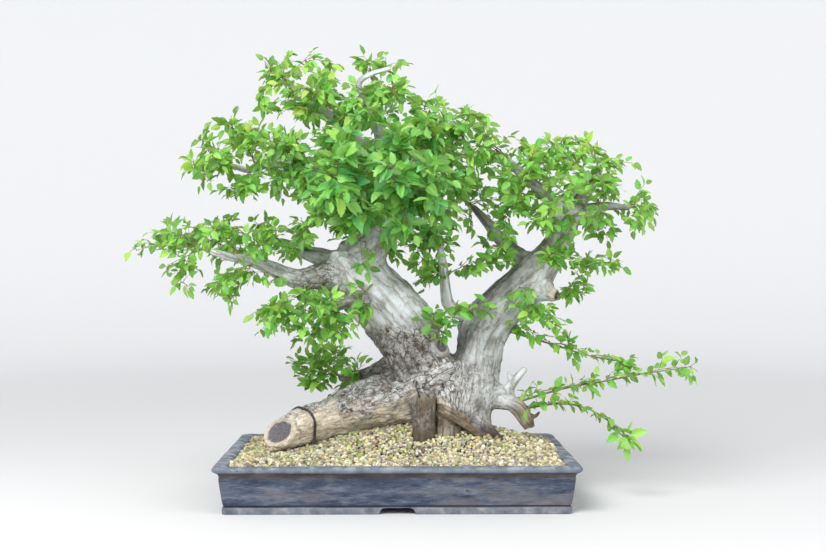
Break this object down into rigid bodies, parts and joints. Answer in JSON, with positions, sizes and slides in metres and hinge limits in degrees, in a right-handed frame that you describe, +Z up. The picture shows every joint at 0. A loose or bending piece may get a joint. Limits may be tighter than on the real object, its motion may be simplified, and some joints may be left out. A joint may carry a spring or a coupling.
{
  "type": "oriental hornbeam bonsai",
  "caption": "Old forked hornbeam bonsai with a thick surface root and serrate leaves, in a shallow rectangular stoneware tray of pumice soil, to stand on a table.",
  "frame": {"origin": "middle of the whole object's box, on the surface the pot stands on", "axes": "+Z up, +X to the right along the pot, the tree's front faces -Y"},
  "size_m": [0.8812, 0.4096, 0.7068],
  "materials": {
    "stoneware": "matt unglazed",
    "mesh": "matt black",
    "granules": "rough pumice granules",
    "wood": "grey bark, cracked and brown low down",
    "wire": "black coated wire",
    "leaf": "living leaf, satin"
  },
  "bodies": {
    "root": {"drain_screen_left": "mesh", "drain_screen_right": "mesh", "pot": "stoneware", "soil": "granules", "spray_back_left_limb_1": "leaf", "spray_back_left_limb_2": "leaf", "spray_back_right_limb_1": "leaf", "spray_front_left_limb_1": "leaf", "spray_front_left_limb_2": "leaf", "spray_front_right_limb_1": "leaf", "spray_front_right_limb_2": "leaf", "spray_knob_1": "leaf", "spray_leader_1": "leaf", "spray_leader_2": "leaf", "spray_leader_3": "leaf", "spray_left_back_limb_1": "leaf", "spray_left_back_limb_2": "leaf", "spray_left_limb_1": "leaf", "spray_left_limb_2": "leaf", "spray_left_limb_3": "leaf", "spray_left_limb_4": "leaf", "spray_left_limb_5": "leaf", "spray_low_back_limb_1": "leaf", "spray_low_back_limb_2": "leaf", "spray_low_left_limb_1": "leaf", "spray_low_left_limb_2": "leaf", "spray_lower_dead_stub_1": "leaf", "spray_lower_dead_stub_2": "leaf", "spray_right_back_limb_1": "leaf", "spray_right_front_limb_1": "leaf", "spray_right_front_limb_2": "leaf", "spray_right_inner_limb_1": "leaf", "spray_right_inner_limb_2": "leaf", "spray_right_mid_limb_1": "leaf", "spray_right_out_limb_1": "leaf", "spray_right_out_limb_2": "leaf", "spray_right_stub_1": "leaf", "spray_right_trunk_1": "leaf", "spray_right_trunk_2": "leaf", "spray_right_trunk_3": "leaf", "spray_right_trunk_4": "leaf", "spray_right_trunk_5": "leaf", "spray_saddle_limb_1": "leaf", "spray_saddle_limb_2": "leaf", "spray_shoulder_limb_1": "leaf", "spray_shoulder_limb_2": "leaf", "spray_top_left_limb_1": "leaf", "spray_top_left_limb_2": "leaf", "spray_top_left_limb_3": "leaf", "spray_upper_left_limb_1": "leaf", "spray_upper_left_limb_2": "leaf", "spray_upper_left_limb_3": "leaf", "spray_upper_left_limb_4": "leaf", "spray_upper_left_limb_5": "leaf", "spray_upper_left_limb_6": "leaf", "tie_wire": "wire", "tree": "wood"}
  },
  "joints": []
}
